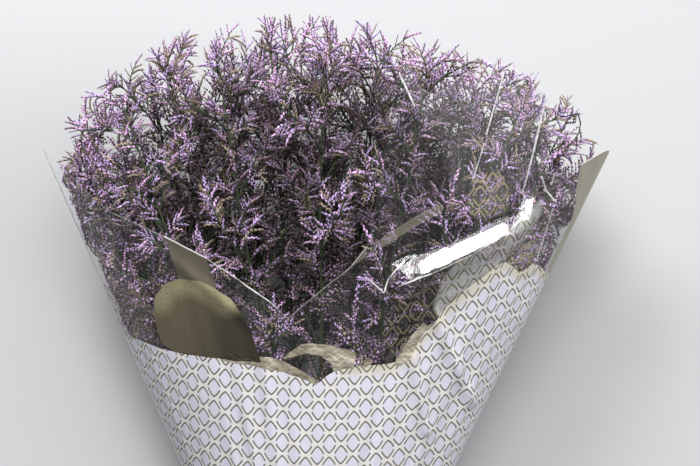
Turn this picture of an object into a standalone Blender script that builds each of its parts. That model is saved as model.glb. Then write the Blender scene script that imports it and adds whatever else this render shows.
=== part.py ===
"""A bunch of dried statice in its clear film sleeve, lying on its side, in metres with +Z up.

+Y runs from the cut ends of the stems to the flower heads, and +X to the right of someone who looks down on
the bunch with its heads away from them. The origin is below the middle of the bunch, on the surface it lies on.
"""
import math
import random

import bmesh
import bpy
from mathutils import Vector
from mathutils.geometry import intersect_point_line

MM = 0.001
FIT_GAP = 0.3 * MM

# Stems: rows from the lowest up, each with its count, its half width and its height in the crown
ROWS = (
    (6, 0.215, 0.052),
    (7, 0.245, 0.118),
    (6, 0.235, 0.182),
    (5, 0.185, 0.242),
)
STEM_DIAMETER = 3.8 * MM
STEM_TIP_DIAMETER = 2.0 * MM
STEM_PITCH = STEM_DIAMETER + FIT_GAP
ROW_RISE = STEM_PITCH * math.sin(math.radians(60))
BUNDLE_X = -0.015
CROWN_X = -0.0045
CUT_Y = -0.370
CUT_UNEVEN = 8 * MM
BUNDLE_END_Y = -0.300
FAN_START_Y = -0.250
CROWN_Y = 0.250

# Panicles: each stem branches, and every branch carries spikes of florets, drawn larger than life
OUTER_PANICLE_Y = -0.045
INNER_PANICLE_Y = 0.080
BRANCHES = 8
BRANCH_REACH = 0.056
BRANCH_RUN = (0.062, 0.030)
BRANCH_DIAMETER = 2.4 * MM
SIDE_SPIKES = (0.48, 0.80)
TIP_SPIKES = 2
SPIKE_LENGTH = (0.042, 0.054)
SPIKE_DIAMETER = 10 * MM
SPIKE_BELLY = 0.42
ROOT_SINK = 0.4 * MM
TIP_STEP = 5 * MM
DRAWS = 6
STRAY = 0.35
GOLDEN_ANGLE = math.radians(137.5)
CELL_CLEARANCE = SPIKE_DIAMETER / 2 + FIT_GAP
WALL_CLEARANCE = 6.5 * MM

# Crown: how far the furthest tips reach, by where they are across it
CROWN_TOP_Y = 0.370
CROWN_MIDDLE_X = -0.040
CROWN_HALF_WIDTHS = (0.235, 0.315)
CROWN_SIDE_DROP = 0.095
CROWN_CORNER_DROP = 0.040
CROWN_MIDDLE_Z = 0.150
CROWN_HALF_HEIGHT = 0.150
CROWN_FACE_DROP = 0.045

# Sleeve: a cone of film, laid flat below and domed above, with its seams at the sides
FILM = 0.8 * MM
NARROW_Y = -0.270
MOUTH_Y = 0.240
MIDDLES_X = (-0.0156, -0.0015)
HALF_WIDTHS = (0.053, 0.2885)
SEAM_HEIGHTS = (0.032, 0.125)
TOP_HEIGHTS = (0.075, 0.300)
DOME_POWER = 2.2
FLAT_SHARE = 0.6
RISE_POWER = 1.6
SLEEVE_RINGS = 8

# Mouth of the sleeve: the place across each sheet, from -1 at the left seam to 1 at the right, and its Y there
FRONT_EDGE = (
    (-1.0, 0.240), (-0.985, 0.236), (-0.94, 0.216), (-0.85, 0.178), (-0.66, 0.150), (-0.515, 0.135),
    (-0.36, 0.117), (-0.153, 0.062), (0.12, 0.108), (0.31, 0.145), (0.37, 0.220), (0.41, 0.312),
    (0.55, 0.316), (0.70, 0.285), (0.76, 0.245), (0.80, 0.212), (0.86, 0.212), (0.95, 0.232),
    (0.985, 0.236), (1.0, 0.237),
)
BACK_EDGE = (
    (0.95, 0.250), (0.88, 0.264), (0.80, 0.274), (0.71, 0.282), (0.60, 0.288), (0.20, 0.300),
    (-0.20, 0.300), (-0.60, 0.280), (-0.71, 0.270), (-0.80, 0.261), (-0.88, 0.253), (-0.95, 0.246),
)

# Elastic band round the stems
BAND_Y = -0.318
BAND_WIDTH = 6 * MM
BAND_THICKNESS = 1.6 * MM
BAND_POINTS = 30
BUNDLE_Z = FIT_GAP + BAND_THICKNESS + FIT_GAP + STEM_DIAMETER / 2


def clear_scene():
    for item in list(bpy.data.objects):
        bpy.data.objects.remove(item)


def material(name, color, roughness, metallic=0.0):
    made = bpy.data.materials.new(name)
    made.use_nodes = True
    shader = made.node_tree.nodes["Principled BSDF"]
    shader.inputs["Base Color"].default_value = (*color, 1.0)
    shader.inputs["Roughness"].default_value = roughness
    shader.inputs["Metallic"].default_value = metallic
    made.diffuse_color = (*color, 1.0)
    return made


def new_collection(name):
    made = bpy.data.collections.new(name)
    bpy.context.scene.collection.children.link(made)
    return made


def new_object(name, data, collection, skins):
    for skin in skins:
        data.materials.append(skin)
    made = bpy.data.objects.new(name, data)
    collection.objects.link(made)
    return made


def as_mesh(item):
    """The mesh of an object with its curve or its modifiers worked out."""
    bpy.context.view_layer.update()
    return bpy.data.meshes.new_from_object(item.evaluated_get(bpy.context.evaluated_depsgraph_get()))


def blend(low, high, share):
    return low + (high - low) * share


def sleeve_section(y):
    """The middle, half width, seam height and top height of the film cone at one Y."""
    share = (y - NARROW_Y) / (MOUTH_Y - NARROW_Y)
    return [blend(*pair, share) for pair in (MIDDLES_X, HALF_WIDTHS, SEAM_HEIGHTS, TOP_HEIGHTS)]


def front_point(across, y):
    middle, half_width, seam, top = sleeve_section(y)
    rise = (1 - min(1.0, abs(across)) ** DOME_POWER) ** 0.5
    return Vector((middle + half_width * across, y, blend(seam, top, rise)))


def back_point(across, y):
    middle, half_width, seam, _ = sleeve_section(y)
    rise = max(0.0, (abs(across) - FLAT_SHARE) / (1 - FLAT_SHARE))
    return Vector((middle + half_width * across, y, seam * rise ** RISE_POWER))


def half_room(y, z):
    """The half width inside the film cone at one Y and height."""
    _, half_width, seam, top = sleeve_section(y)
    if z >= seam:
        height = min(1.0, (z - seam) / (top - seam))
        return half_width * (1 - height * height) ** (1 / DOME_POWER)
    return half_width * blend(FLAT_SHARE, 1.0, max(0.0, z / seam) ** (1 / RISE_POWER))


def crown_limit(x, z):
    """The Y that no flower passes, so that the crown is a dome."""
    left, right = CROWN_HALF_WIDTHS
    across = (x - CROWN_MIDDLE_X) / (left if x < CROWN_MIDDLE_X else right)
    upward = (z - CROWN_MIDDLE_Z) / CROWN_HALF_HEIGHT
    side_drop = CROWN_SIDE_DROP * across ** 2 + CROWN_CORNER_DROP * across ** 8
    return CROWN_TOP_Y - side_drop - CROWN_FACE_DROP * upward ** 2


def spread(y):
    """How far the bunch has fanned out, from 0 in the tied bundle to 1 at CROWN_Y."""
    bend_middle = (BUNDLE_END_Y + FAN_START_Y) / 2
    slope = 1 / (CROWN_Y - bend_middle)
    if y <= BUNDLE_END_Y:
        return 0.0
    if y <= FAN_START_Y:
        return slope * (y - BUNDLE_END_Y) ** 2 / (2 * (FAN_START_Y - BUNDLE_END_Y))
    return slope * (y - bend_middle)


class Stem:
    """One stem's line from the tied bundle to the crown, and the room round it that no other stem enters."""

    def __init__(self, row, column):
        count, half_width, height = ROWS[row]
        step = 2 * half_width / (count - 1)
        self.bundle_x = BUNDLE_X + STEM_PITCH * (column - (count - 1) / 2)
        self.bundle_z = BUNDLE_Z + row * ROW_RISE
        self.crown_x = CROWN_X - half_width + column * step
        self.crown_z = height
        self.side_room = (STEM_PITCH / 2, step / 2)
        self.room_below = (ROW_RISE / 2, (height - ROWS[row - 1][2]) / 2) if row else None
        self.room_above = (ROW_RISE / 2, (ROWS[row + 1][2] - height) / 2) if row + 1 < len(ROWS) else None
        self.at_left = column == 0
        self.at_right = column == count - 1
        inner = self.room_below and self.room_above and 0 < column < count - 1
        self.panicle_y = INNER_PANICLE_Y if inner else OUTER_PANICLE_Y

    def at(self, y):
        share = spread(y)
        return Vector((blend(self.bundle_x, self.crown_x, share), y, blend(self.bundle_z, self.crown_z, share)))

    def bent_clear(self, point):
        """Moves a point into this stem's own room, inside the film and the crown."""
        x, y, z = point
        y = min(y, crown_limit(x, z))
        share = spread(y)
        axis = self.at(y)
        middle, half_width, seam, _ = sleeve_section(y)
        z = max(z, FILM + WALL_CLEARANCE)
        if self.room_below:
            z = max(z, axis.z - blend(*self.room_below, share) + CELL_CLEARANCE)
        if self.room_above:
            z = min(z, axis.z + blend(*self.room_above, share) - CELL_CLEARANCE)
        side = blend(*self.side_room, share) - CELL_CLEARANCE
        x = x if self.at_left else max(x, axis.x - side)
        x = x if self.at_right else min(x, axis.x + side)
        ceiling = front_point((x - middle) / half_width, y).z - WALL_CLEARANCE
        z = min(z, max(ceiling, axis.z))
        away = WALL_CLEARANCE if z > seam else -WALL_CLEARANCE
        wall = half_room(y, z + away) - WALL_CLEARANCE
        return Vector((min(max(x, middle - wall), middle + wall), y, z))


def side_of(line, angle, reference=None):
    """A direction square to a line, turned round it by an angle from the reference, or else from level."""
    reference = reference or line.cross(Vector((0, 0, 1)))
    across = (reference - reference.project(line)).normalized()
    return across * math.cos(angle) + across.cross(line).normalized() * math.sin(angle)


def loft(rings, caps, green_rings=0):
    """Joins rings of points with faces; a ring of one point is a tip. Past green_rings the faces are lilac."""
    shape = bmesh.new()
    loops = [[shape.verts.new(point) for point in ring] for ring in rings]
    for number, (low, high) in enumerate(zip(loops, loops[1:])):
        count = max(len(low), len(high))
        for a in range(count):
            b = (a + 1) % count
            corners = (low[a % len(low)], low[b % len(low)], high[b % len(high)], high[a % len(high)])
            shape.faces.new(dict.fromkeys(corners)).material_index = int(number >= green_rings)
    if caps:
        for loop in (loops[0], loops[-1]):
            if len(loop) > 2:
                shape.faces.new(loop)
    bmesh.ops.recalc_face_normals(shape, faces=shape.faces)
    mesh = bpy.data.meshes.new("loft")
    shape.to_mesh(mesh)
    shape.free()
    return mesh


def rod(stations, turn, green_rings):
    """The mesh of a three-sided rod through stations, each a place and a radius; a radius of 0 is a tip."""
    places = [place for place, _ in stations]
    level = (places[-1] - places[0]).cross(Vector((0, 0, 1)))
    rings = []
    for number, (place, radius) in enumerate(stations):
        line = (places[min(len(places) - 1, number + 1)] - places[max(0, number - 1)]).normalized()
        angles = [turn + corner * math.tau / 3 for corner in range(3 if radius else 1)]
        rings.append([place + side_of(line, angle, level) * radius for angle in angles])
    return loft(rings, caps=True, green_rings=green_rings)


def stem_rod(name, stem, cut_y, end_y, parts, skins):
    """The stem itself: a tapering curve from its cut end to the start of its last spikes."""
    curve = bpy.data.curves.new(name, "CURVE")
    curve.dimensions = "3D"
    curve.bevel_depth = 1.0
    curve.bevel_resolution = 1
    curve.use_fill_caps = True
    places = (cut_y, BUNDLE_END_Y, (BUNDLE_END_Y + FAN_START_Y) / 2, FAN_START_Y, end_y)
    spline = curve.splines.new("POLY")
    spline.points.add(len(places) - 1)
    for point, y in zip(spline.points, places):
        thinned = max(0.0, (y - stem.panicle_y) / (end_y - stem.panicle_y))
        point.co = (*stem.at(y), 1.0)
        point.radius = blend(STEM_DIAMETER, STEM_TIP_DIAMETER, thinned) / 2
    guide = new_object(name, curve, parts, skins[:1])
    mesh = as_mesh(guide)
    bpy.data.objects.remove(guide)
    shape = bmesh.new()
    shape.from_mesh(mesh)
    bmesh.ops.remove_doubles(shape, verts=shape.verts, dist=0.01 * MM)
    shape.to_mesh(mesh)
    shape.free()
    mesh.materials.clear()
    return new_object(name, mesh, parts, skins)


def fuse(target, collection):
    """Joins every object of a collection into the target, and removes the collection's objects."""
    union = target.modifiers.new("fused", "BOOLEAN")
    union.operation = "UNION"
    union.operand_type = "COLLECTION"
    union.collection = collection
    union.solver = "MANIFOLD"
    fused = as_mesh(target)
    target.modifiers.clear()
    target.data = fused
    for item in list(collection.objects):
        bpy.data.objects.remove(item)


def clearance(start, end, lines):
    """The least distance from the outer part of one line to any of the others."""
    least = 1.0
    for share in (0.3, 0.45, 0.6, 0.75, 0.9, 1.0):
        point = start.lerp(end, share)
        for a, b in lines:
            near, place = intersect_point_line(point, a, b)
            near = a if place < 0 else b if place > 1 else near
            least = min(least, (point - near).length)
    return least


def make_spray(number, stem, parts, pieces, skins):
    """One stem with its panicle of branches and spikes of florets, fused into one solid."""
    draw = random.Random(number)
    cut_y = CUT_Y + draw.uniform(0, CUT_UNEVEN)
    top = stem.at(CROWN_Y)
    end_y = crown_limit(top.x, top.z) - SPIKE_LENGTH[0] - draw.uniform(0, 12 * MM)
    spray = stem_rod(f"spray_{number:02d}", stem, cut_y, end_y, parts, skins)
    lines = [(stem.at(stem.panicle_y), stem.at(end_y))]

    def best_end(start, toward):
        """Of several draws round a direction, the end that is clearest of what has grown so far."""
        ends = []
        for _ in range(DRAWS):
            stray = Vector([draw.uniform(-1, 1) for _ in range(3)]) * STRAY
            ends.append(stem.bent_clear(start + (toward + toward.length * stray)))
        return max(ends, key=lambda end: clearance(start, end, lines))

    def spike_stations(start, toward):
        end = best_end(start, toward.normalized() * draw.uniform(*SPIKE_LENGTH))
        lines.append((start, end))
        return [(start.lerp(end, SPIKE_BELLY), SPIKE_DIAMETER / 2), (end, 0.0)]

    def add_rod(stations, green_rings):
        new_object("rod", rod(stations, draw.uniform(0, math.tau), green_rings), pieces, skins)

    def add_side_spike(base, line, toward):
        """Its root is a tip sunk behind the line that it grows from."""
        stations = spike_stations(base, toward)
        aside = stations[-1][0] - base
        aside -= aside.project(line)
        add_rod([(base - aside.normalized() * ROOT_SINK, 0.0)] + stations, green_rings=0)

    turn = draw.uniform(0, math.tau)
    for branch in range(BRANCHES):
        up_stem = (branch + draw.uniform(0.1, 0.9)) / BRANCHES
        root = stem.at(blend(stem.panicle_y, end_y - 10 * MM, up_stem))
        turn += GOLDEN_ANGLE
        outward = Vector((math.cos(turn), 0, math.sin(turn))) * BRANCH_REACH * draw.uniform(0.75, 1.1)
        run = Vector((0, blend(*BRANCH_RUN, up_stem) * draw.uniform(0.85, 1.15), 0))
        end = best_end(root, outward + run)
        lines.append((root, end))
        line = (end - root).normalized()
        onward = line + Vector((0, 0.5, 0))
        neck = [(root, BRANCH_DIAMETER / 2), (end, 0.4 * BRANCH_DIAMETER)]
        add_rod(neck + spike_stations(end, onward), green_rings=1)
        lean = draw.uniform(0, math.tau)
        for place in SIDE_SPIKES:
            lean += math.pi + draw.uniform(-0.5, 0.5)
            add_side_spike(root.lerp(end, place), line, onward + side_of(line, lean) * 0.8)
    tip = stem.at(end_y)
    line = (tip - stem.at(FAN_START_Y)).normalized()
    for number_at_tip in range(TIP_SPIKES):
        lean = turn + number_at_tip * math.tau / TIP_SPIKES
        base = tip - line * TIP_STEP * number_at_tip
        add_side_spike(base - line * MM, line, line + 0.5 * side_of(line, lean))
    fuse(spray, pieces)


def make_sleeve(parts, skin):
    """The film cone, open at both ends: one ring of points for each step from the narrow end to the mouth."""
    columns = [(front_point, across, edge) for across, edge in FRONT_EDGE]
    columns += [(back_point, across, edge) for across, edge in BACK_EDGE]
    steps = [ring / SLEEVE_RINGS for ring in range(SLEEVE_RINGS + 1)]
    rings = [[at(across, blend(NARROW_Y, edge, step)) for at, across, edge in columns] for step in steps]
    sleeve = new_object("sleeve", loft(rings, caps=False), parts, (skin,))
    wall = sleeve.modifiers.new("film", "SOLIDIFY")
    wall.thickness = FILM
    wall.offset = -1


def make_band(stems, parts, skin):
    """The elastic band: its path is the tight outline of the bundle."""
    reach = STEM_DIAMETER / 2 + FIT_GAP
    outline = []
    for number in range(BAND_POINTS):
        angle = math.tau * number / BAND_POINTS
        outward = Vector((math.cos(angle), math.sin(angle)))
        places = [Vector((stem.bundle_x, stem.bundle_z)) for stem in stems]
        outline.append(max(places, key=outward.dot) + outward * reach)
    sides = (BAND_Y - BAND_WIDTH / 2, BAND_Y + BAND_WIDTH / 2)
    rings = [[Vector((at.x, y, at.y)) for at in outline] for y in sides]
    band = new_object("elastic_band", loft(rings, caps=False), parts, (skin,))
    wall = band.modifiers.new("rubber", "SOLIDIFY")
    wall.thickness = BAND_THICKNESS
    wall.offset = 1


def build():
    clear_scene()
    parts = new_collection("dried_statice")
    pieces = new_collection("pieces")
    green = material("stem_green", (0.085, 0.12, 0.05), 0.8)
    lilac = material("floret_lilac", (0.36, 0.22, 0.40), 0.85)
    stems = [Stem(row, column) for row, (count, _, _) in enumerate(ROWS) for column in range(count)]
    for number, stem in enumerate(stems):
        make_spray(number, stem, parts, pieces, (green, lilac))
    bpy.data.collections.remove(pieces)
    make_sleeve(parts, material("clear_film", (0.75, 0.75, 0.76), 0.2))
    make_band(stems, parts, material("band_rubber", (0.45, 0.36, 0.24), 0.8))


build()
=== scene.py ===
# %% [markdown]
# # Dried statice in a printed film sleeve
# Statice dries on the stem. A wiry green stem forks again and again, and its last forks carry short curved
# spikes of papery lilac florets. A grower bundles two dozen stems, ties them with an elastic band and slides
# a cone of printed clear film over the heads. This script dresses the plain solids of such a bunch, which
# lies on its side, with stems, spikes, film and band as fine as the real ones.

import math
import random

import bpy
import numpy as np
from mathutils import Matrix, Vector, noise
from mathutils.geometry import intersect_point_line


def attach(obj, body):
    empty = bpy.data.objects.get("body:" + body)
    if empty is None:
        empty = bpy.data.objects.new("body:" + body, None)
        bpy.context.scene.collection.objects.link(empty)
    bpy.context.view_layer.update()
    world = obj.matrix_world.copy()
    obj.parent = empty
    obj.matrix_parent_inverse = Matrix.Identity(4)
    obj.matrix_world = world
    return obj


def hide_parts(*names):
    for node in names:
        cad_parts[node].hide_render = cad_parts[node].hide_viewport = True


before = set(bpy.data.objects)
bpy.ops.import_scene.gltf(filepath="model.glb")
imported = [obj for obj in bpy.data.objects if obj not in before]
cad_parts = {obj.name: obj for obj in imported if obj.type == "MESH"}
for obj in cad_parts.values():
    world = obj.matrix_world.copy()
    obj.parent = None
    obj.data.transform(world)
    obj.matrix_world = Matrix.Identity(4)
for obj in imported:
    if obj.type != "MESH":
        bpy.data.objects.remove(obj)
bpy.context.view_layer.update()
MM = 0.001

# %% [markdown]
# ## Camera
# The bunch lies down, and it was photographed from its front, so the camera looks down on it, a few degrees
# from straight overhead, with the flower heads at the top of the picture. A long lens from two metres keeps
# the outline as calm as in the photograph. The size of the photograph is kept as well, because the print on
# the film is later placed by its pixels.

# %% Camera above the front of the bunch
PHOTO_WIDTH, PHOTO_HEIGHT = 700, 466
SENSOR = 36.0
LENS = 97.7
ELEVATION = math.radians(84)
DISTANCE = 1.9
AIM = Vector((0.022, 0.152, 0.150))


def add_camera():
    back = Vector((0, -math.cos(ELEVATION), math.sin(ELEVATION)))
    bpy.ops.object.camera_add(location=AIM + back * DISTANCE, rotation=(math.pi / 2 - ELEVATION, 0, 0))
    made = bpy.context.object
    made.data.sensor_width = SENSOR
    made.data.lens = LENS
    bpy.context.scene.camera = made
    return made


camera = add_camera()
print("camera at", tuple(round(x, 2) for x in camera.location))

# %% [markdown]
# ## Floor and light
# The floor is a plain pale sheet. A key light stands beyond the flower heads on the left, a broad light high
# above them and a weaker one to the right. The side of the stems stays dark, because clear film mirrors what
# stands there: a bright world would be simpler, but it would lie on the film as a haze. The last light is a
# long weak strip, placed where two flat patches of the film mirror it to the camera as bright streaks.

# %% Floor and soft lights
LIGHTS = {
    "key": {"place": (-0.58, 1.45, 1.42), "size": (0.8, 0.6), "power": 38},
    "fill": {"place": (1.7, 0.35, 1.6), "size": (1.2, 1.0), "power": 24},
    "top": {"place": (0.0, 1.3, 3.2), "size": (2.4, 1.6), "power": 92},
    "strip": {"place": (0.654, 0.57, 1.60), "size": (0.95, 0.30), "power": 3.0},
}
LIGHT_TARGET = Vector((0, 0.1, 0.1))
WORLD_COLOR = (0.62, 0.63, 0.65)
WORLD_STRENGTH = 0.14
FLOOR_SIZE = 8
FLOOR_DROP = 0.2 * MM


def add_light(name, place, size, power):
    turned = (LIGHT_TARGET - Vector(place)).to_track_quat("-Z", "Y").to_euler()
    bpy.ops.object.light_add(type="AREA", location=place, rotation=turned)
    lamp = bpy.context.object
    lamp.name = name
    lamp.data.shape = "RECTANGLE"
    lamp.data.size, lamp.data.size_y = size
    lamp.data.energy = power
    lamp.visible_camera = False


bpy.context.scene.view_settings.view_transform = "Standard"
for name, light in LIGHTS.items():
    add_light(name, **light)
world = bpy.data.worlds.new("studio")
bpy.context.scene.world = world
world.use_nodes = True
world.node_tree.nodes["Background"].inputs["Color"].default_value = (*WORLD_COLOR, 1)
world.node_tree.nodes["Background"].inputs["Strength"].default_value = WORLD_STRENGTH
bpy.ops.mesh.primitive_plane_add(size=FLOOR_SIZE, location=(0, 0, -FLOOR_DROP))
floor = bpy.context.object
floor.name = "floor"
print("lights:", *LIGHTS)

# %% [markdown]
# ## Writing a finish as a formula
# A finish is a network of nodes, and a network is easiest to read as a formula. `Wire` stands for a node's
# output, and arithmetic on it adds Math nodes. `Finish` holds one material: its method `node` adds any other
# node from its type, its settings and what its sockets take.

# %% Formulas for finishes
class Wire:
    """The output of a node. Arithmetic on wires adds Math nodes."""

    def __init__(self, finish, socket):
        self.finish = finish
        self.socket = socket

    def math(self, operation, *values):
        return self.finish.node("ShaderNodeMath", {"operation": operation}, dict(enumerate(values)))

    def __add__(self, other):
        return self.math("ADD", self, other)

    def __mul__(self, other):
        return self.math("MULTIPLY", self, other)

    def __sub__(self, other):
        return self.math("SUBTRACT", self, other)

    def __rsub__(self, other):
        return self.math("SUBTRACT", other, self)

    def __truediv__(self, other):
        return self.math("DIVIDE", self, other)

    def __gt__(self, other):
        return self.math("GREATER_THAN", self, other)

    def __lt__(self, other):
        return self.math("LESS_THAN", self, other)

    def __abs__(self):
        return self.math("ABSOLUTE", self)

    def __pow__(self, other):
        return self.math("POWER", self, other)

    __radd__ = __add__
    __rmul__ = __mul__

    def fraction(self):
        return self.math("FRACT", self)

    def larger(self, other):
        return self.math("MAXIMUM", self, other)

    def smaller(self, other):
        return self.math("MINIMUM", self, other)

    def step(self, low, high):
        """0 up to low, 1 from high, and a smooth slope between them."""
        settings = {"interpolation_type": "SMOOTHSTEP"}
        sockets = {"Value": self, "From Min": low, "From Max": high}
        return self.finish.node("ShaderNodeMapRange", settings, sockets)


class Finish:
    """One material and the nodes behind its Principled shader."""

    def __init__(self, name, roughness=0.5):
        self.material = bpy.data.materials.new(name)
        self.material.use_nodes = True
        self.tree = self.material.node_tree
        self.shader = self.tree.nodes["Principled BSDF"]
        self.set("Roughness", roughness)

    def node(self, kind, settings=None, sockets=None, output=0):
        """A new node: first its settings, then its sockets by name or number; gives one of its outputs."""
        made = self.tree.nodes.new(kind)
        for name, value in (settings or {}).items():
            if name == "stops":
                self.set_stops(made.color_ramp, value)
            else:
                setattr(made, name, value)
        for name, value in (sockets or {}).items():
            self.feed(made.inputs[name], value)
        return Wire(self, made.outputs[output])

    def set_stops(self, ramp, stops):
        while len(ramp.elements) < len(stops):
            ramp.elements.new(1.0)
        for element, (place, color) in zip(ramp.elements, stops):
            element.position = place
            element.color = (*color, 1)

    def feed(self, socket, value):
        if isinstance(value, Wire):
            self.tree.links.new(value.socket, socket)
        elif hasattr(value, "__len__") and len(value) == 3 and socket.type == "RGBA":
            socket.default_value = (*value, 1)
        else:
            socket.default_value = value

    def set(self, socket, value):
        """Gives one of the shader's own sockets a number, a colour or a wire."""
        self.feed(self.shader.inputs[socket], value)

    def attribute(self, name, output="Fac"):
        return self.node("ShaderNodeAttribute", {"attribute_name": name}, output=output)

    def mix(self, share, low, high):
        """A colour between low and high."""
        settings = {"data_type": "RGBA"}
        return self.node("ShaderNodeMix", settings, {0: share, 6: low, 7: high}, output=2)

    def tint(self, color, factor):
        """A colour multiplied by another."""
        settings = {"data_type": "RGBA", "blend_type": "MULTIPLY"}
        return self.node("ShaderNodeMix", settings, {0: 1.0, 6: color, 7: factor}, output=2)

    def speckle(self, scale, detail=2.0):
        """Noise from about 0.3 to 0.7, with this many patches a metre."""
        place = self.node("ShaderNodeTexCoord", output="Object")
        return self.node("ShaderNodeTexNoise", sockets={"Vector": place, "Scale": scale, "Detail": detail})

    def vector(self, operation, first, second, output=0):
        return self.node("ShaderNodeVectorMath", {"operation": operation}, {0: first, 1: second}, output)

    def bump(self, height, distance):
        self.set("Normal", self.node("ShaderNodeBump", sockets={"Height": height, "Distance": distance}))


def coat(item, finish):
    """Gives a piece one finish."""
    item.data.materials.clear()
    item.data.materials.append(finish.material)


FLOOR_TINTS = (0.420, 0.423, 0.433), (0.454, 0.457, 0.467)
pale_floor = Finish("pale_floor", roughness=0.9)
pale_floor.set("Base Color", pale_floor.mix(pale_floor.speckle(0.6), *FLOOR_TINTS))
coat(floor, pale_floor)
print("floor finish with", len(pale_floor.tree.nodes), "nodes")

# %% [markdown]
# ## Where the stems run
# The solids are placed by a rule with seeded draws: stems fan out from the band in four rows, each in a room
# of its own, and branches grow round them at the golden angle. The same rule is repeated here, so that the
# fine branches grow where the solid ones are. Their places could be read off the corners of the solids
# instead, but a rule can be understood and changed.

# %% Sizes of the bunch
ROWS = (
    (6, 0.215, 0.052),
    (7, 0.245, 0.118),
    (6, 0.235, 0.182),
    (5, 0.185, 0.242),
)
FIT_GAP = 0.3 * MM
STEM_DIAMETER = 3.8 * MM
STEM_TIP_DIAMETER = 1.5 * MM
STEM_PITCH = STEM_DIAMETER + FIT_GAP
ROW_RISE = STEM_PITCH * math.sin(math.radians(60))
BUNDLE_X = -0.015
CROWN_X = -0.0045
CUT_Y = -0.370
CUT_UNEVEN = 8 * MM
BUNDLE_END_Y = -0.300
FAN_START_Y = -0.250
CROWN_Y = 0.250
OUTER_PANICLE_Y = -0.045
INNER_PANICLE_Y = 0.080
BRANCHES = 8
BRANCH_REACH = 0.056
BRANCH_RUN = (0.062, 0.030)
BRANCH_DIAMETER = 2.0 * MM
SIDE_TWIGS = (0.48, 0.80)
TIP_TWIGS = 2
TWIG_LENGTH = (0.042, 0.054)
TIP_STEP = 5 * MM
DRAWS = 6
STRAY = 0.35
OUTER_SHARES = (0.3, 0.45, 0.6, 0.75, 0.9, 1.0)
TIP_UNEVEN = 12 * MM
LAST_ROOT_DROP = 10 * MM
ONWARD = Vector((0, 0.5, 0))
SIDE_TWIG_LEAN = 0.8
TIP_TWIG_LEAN = 0.5
GOLDEN_ANGLE = math.radians(137.5)
CELL_CLEARANCE = 5.3 * MM
WALL_CLEARANCE = 6.5 * MM
BAND_Y = -0.318
BAND_THICKNESS = 1.6 * MM
BUNDLE_Z = FIT_GAP + BAND_THICKNESS + FIT_GAP + STEM_DIAMETER / 2
print("stems in the bunch:", sum(count for count, _, _ in ROWS))

# %% The walls: the film cone and the dome of the crown
FILM = 0.8 * MM
NARROW_Y = -0.270
MOUTH_Y = 0.240
MIDDLES_X = (-0.0156, -0.0015)
HALF_WIDTHS = (0.053, 0.2885)
SEAM_HEIGHTS = (0.032, 0.125)
TOP_HEIGHTS = (0.075, 0.300)
DOME_POWER = 2.2
FLAT_SHARE = 0.6
RISE_POWER = 1.6
CROWN_TOP_Y = 0.370
CROWN_MIDDLE_X = -0.040
CROWN_HALF_WIDTHS = (0.235, 0.315)
CROWN_SIDE_DROP = 0.095
CROWN_CORNER_DROP = 0.040
CROWN_MIDDLE_Z = 0.150
CROWN_HALF_HEIGHT = 0.150
CROWN_FACE_DROP = 0.045


def blend(low, high, share):
    return low + (high - low) * share


def sleeve_section(y):
    """The middle, half width, seam height and top height of the film cone at one Y."""
    share = (y - NARROW_Y) / (MOUTH_Y - NARROW_Y)
    return [blend(*pair, share) for pair in (MIDDLES_X, HALF_WIDTHS, SEAM_HEIGHTS, TOP_HEIGHTS)]


def front_point(across, y):
    middle, half_width, seam, top = sleeve_section(y)
    rise = (1 - min(1.0, abs(across)) ** DOME_POWER) ** 0.5
    return Vector((middle + half_width * across, y, blend(seam, top, rise)))


def back_point(across, y):
    middle, half_width, seam, _ = sleeve_section(y)
    rise = max(0.0, (abs(across) - FLAT_SHARE) / (1 - FLAT_SHARE))
    return Vector((middle + half_width * across, y, seam * rise ** RISE_POWER))


def half_room(y, z):
    """The half width inside the film cone at one Y and height."""
    _, half_width, seam, top = sleeve_section(y)
    if z >= seam:
        height = min(1.0, (z - seam) / (top - seam))
        return half_width * (1 - height * height) ** (1 / DOME_POWER)
    return half_width * blend(FLAT_SHARE, 1.0, max(0.0, z / seam) ** (1 / RISE_POWER))


def crown_limit(x, z):
    """The Y that no flower passes, so that the crown is a dome."""
    left, right = CROWN_HALF_WIDTHS
    across = (x - CROWN_MIDDLE_X) / (left if x < CROWN_MIDDLE_X else right)
    upward = (z - CROWN_MIDDLE_Z) / CROWN_HALF_HEIGHT
    side_drop = CROWN_SIDE_DROP * across ** 2 + CROWN_CORNER_DROP * across ** 8
    return CROWN_TOP_Y - side_drop - CROWN_FACE_DROP * upward ** 2


print("film cone, top of the mouth at", round(front_point(0, MOUTH_Y).z, 3))

# %% Stems, each with a room of its own
def spread(y):
    """How far the bunch has fanned out, from 0 in the tied bundle to 1 at CROWN_Y."""
    bend_middle = (BUNDLE_END_Y + FAN_START_Y) / 2
    slope = 1 / (CROWN_Y - bend_middle)
    if y <= BUNDLE_END_Y:
        return 0.0
    if y <= FAN_START_Y:
        return slope * (y - BUNDLE_END_Y) ** 2 / (2 * (FAN_START_Y - BUNDLE_END_Y))
    return slope * (y - bend_middle)


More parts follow.
